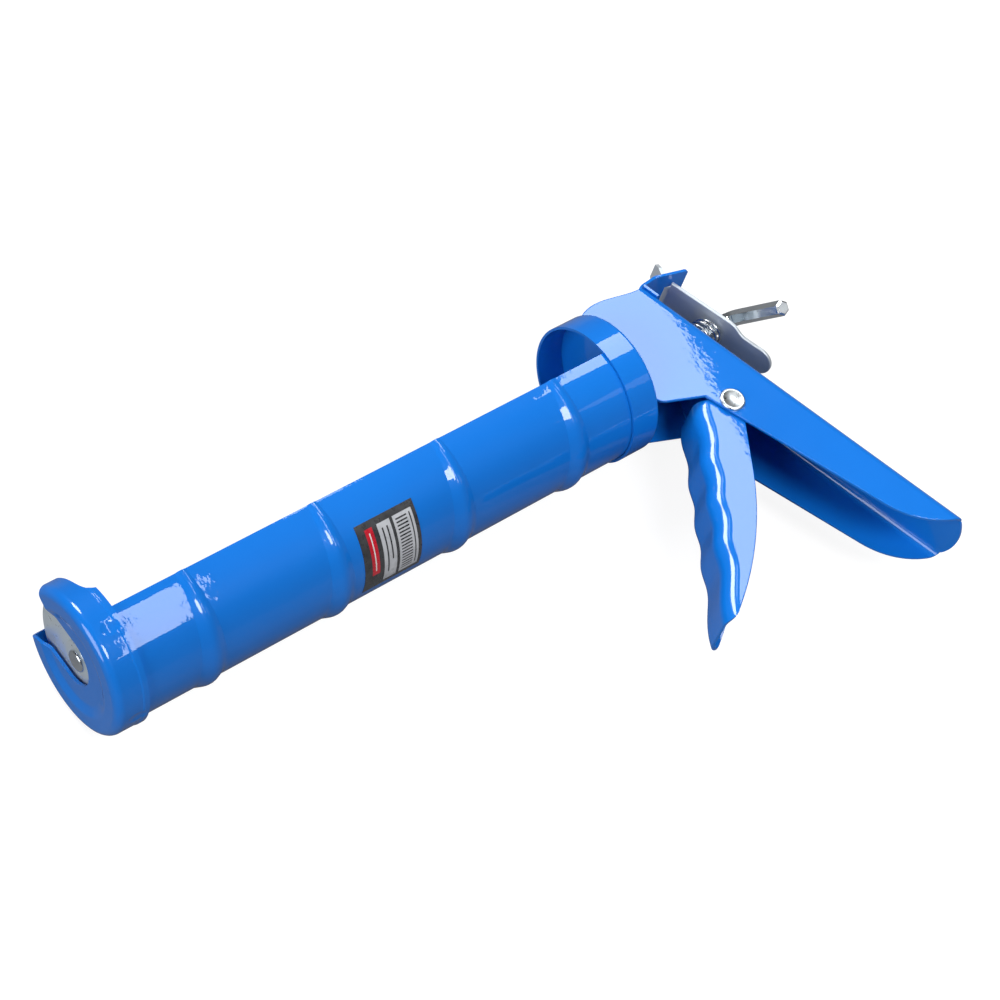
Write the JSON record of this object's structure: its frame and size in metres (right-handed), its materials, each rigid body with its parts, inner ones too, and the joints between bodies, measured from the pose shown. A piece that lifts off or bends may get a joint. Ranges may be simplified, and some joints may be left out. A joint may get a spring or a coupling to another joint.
{
  "type": "caulking gun",
  "caption": "Half-barrel hand caulking gun: pressed steel cradle, slotted front cap, hook-ended push rod with piston, squeeze trigger and thumb release plate.",
  "frame": {"origin": "on the barrel axis, in the plane of the front cap's outer ring face", "axes": "+X along the barrel from the nozzle end to the hook, +Y the gun's own up (the open side of the cradle), +Z the gun's left side, which faces up when the gun lies on its right side"},
  "size_m": [0.3135, 0.1581, 0.0572],
  "materials": {
    "cup_paint": "gloss enamel",
    "trough_paint": "gloss enamel",
    "body_paint": "gloss enamel",
    "trigger_paint": "gloss enamel",
    "rod_zinc": "bright zinc plate",
    "piston_zinc": "bright zinc plate",
    "rivet_steel": "bright, pressed",
    "grip_steel": "hardened, plain",
    "spring_steel": "bright wire",
    "release_zinc": "bright zinc plate",
    "label_film": "glossy printed film"
  },
  "bodies": {
    "gun_body": {"front_cap": "cup_paint", "cradle": "trough_paint", "rear_collar": "cup_paint", "handle_body": "body_paint", "trigger_rivet": "rivet_steel", "barrel_label": "label_film", "drive_spring": "spring_steel", "release_spring": "spring_steel"},
    "rod": {"push_rod": "rod_zinc", "piston_plate": "piston_zinc", "piston_front_washer": "piston_zinc", "piston_back_washer": "piston_zinc"},
    "trigger": {"trigger": "trigger_paint"},
    "grip": {"front_grip_plate": "grip_steel", "rear_grip_plate": "grip_steel"},
    "release": {"release_plate": "release_zinc"}
  },
  "joints": [
    {"name": "rod_slide", "type": "slide", "parent": "gun_body", "child": "rod", "axis": [1, 0, 0], "range_m": [0, 0.215]},
    {"name": "trigger_pivot", "type": "hinge", "parent": "gun_body", "child": "trigger", "pos_m": [0.267, -0.0358, 0], "axis": [0, 0, 1], "range_deg": [0, 25], "stiffness_Nm_per_rad": 0.5, "springref_deg": -11.46},
    {"name": "grip_slide", "type": "slide", "parent": "gun_body", "child": "grip", "axis": [-1, 0, 0], "range_m": [0, 0.0125], "deforming": ["drive_spring"]},
    {"name": "release_pivot", "type": "hinge", "parent": "gun_body", "child": "release", "pos_m": [0.2867, 0.0221, 0], "axis": [0, 0, -1], "range_deg": [0, 8], "stiffness_Nm_per_rad": 0.2, "springref_deg": -6.88, "deforming": ["release_spring"]}
  ],
  "couplings": [
    {"joint": "grip_slide", "follows": "trigger_pivot", "m_per_rad": 0.02788}
  ]
}
